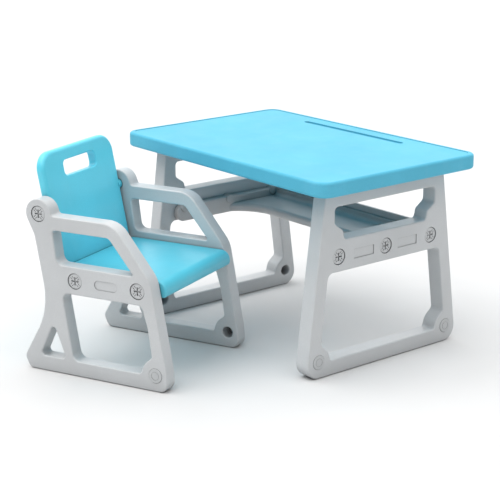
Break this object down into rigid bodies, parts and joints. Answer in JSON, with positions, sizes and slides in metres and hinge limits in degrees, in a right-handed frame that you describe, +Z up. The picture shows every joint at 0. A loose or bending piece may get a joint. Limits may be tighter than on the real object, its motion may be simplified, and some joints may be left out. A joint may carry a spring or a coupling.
{
  "type": "kids table and chair set",
  "caption": "Toddler's moulded plastic table with a pen groove and a storage tray, with a matching armchair whose backrest has a handle slot.",
  "frame": {"origin": "centre of the whole set's bounding box, on the floor", "axes": "+Z up; +X along the table's long side; +Y from the side where the child sits to the table's back edge"},
  "size_m": [0.66, 0.802, 0.4368],
  "materials": {
    "tabletop_blue": "fine satin moulded surface",
    "seat_blue": "fine satin moulded surface",
    "frame_grey": "fine satin moulded surface",
    "tray_grey": "fine satin moulded surface",
    "screw_grey": "smooth",
    "cap_grey": "smooth",
    "steel": "zinc plated"
  },
  "bodies": {
    "table": {"storage_tray": "tray_grey", "table_cap_left_back": "cap_grey", "table_cap_left_front": "cap_grey", "table_cap_right_back": "cap_grey", "table_cap_right_front": "cap_grey", "table_left_frame": "frame_grey", "table_right_frame": "frame_grey", "tabletop": "tabletop_blue", "top_screw_left_back": "steel", "top_screw_left_front": "steel", "top_screw_right_back": "steel", "top_screw_right_front": "steel", "tray_screw_left_back": "screw_grey", "tray_screw_left_front": "screw_grey", "tray_screw_left_middle": "screw_grey", "tray_screw_right_back": "screw_grey", "tray_screw_right_front": "screw_grey", "tray_screw_right_middle": "screw_grey"},
    "chair": {"backrest": "seat_blue", "backrest_screw_left": "screw_grey", "backrest_screw_right": "screw_grey", "chair_cap_left": "cap_grey", "chair_cap_right": "cap_grey", "chair_left_frame": "frame_grey", "chair_right_frame": "frame_grey", "seat": "seat_blue", "seat_screw_left_back": "screw_grey", "seat_screw_left_front": "screw_grey", "seat_screw_right_back": "screw_grey", "seat_screw_right_front": "screw_grey"}
  },
  "joints": [
    {"name": "chair_slide", "type": "slide", "parent": "table", "child": "chair", "axis": [0.9201, 0.3917, 0], "range_m": [-0.35, 0.2]}
  ]
}
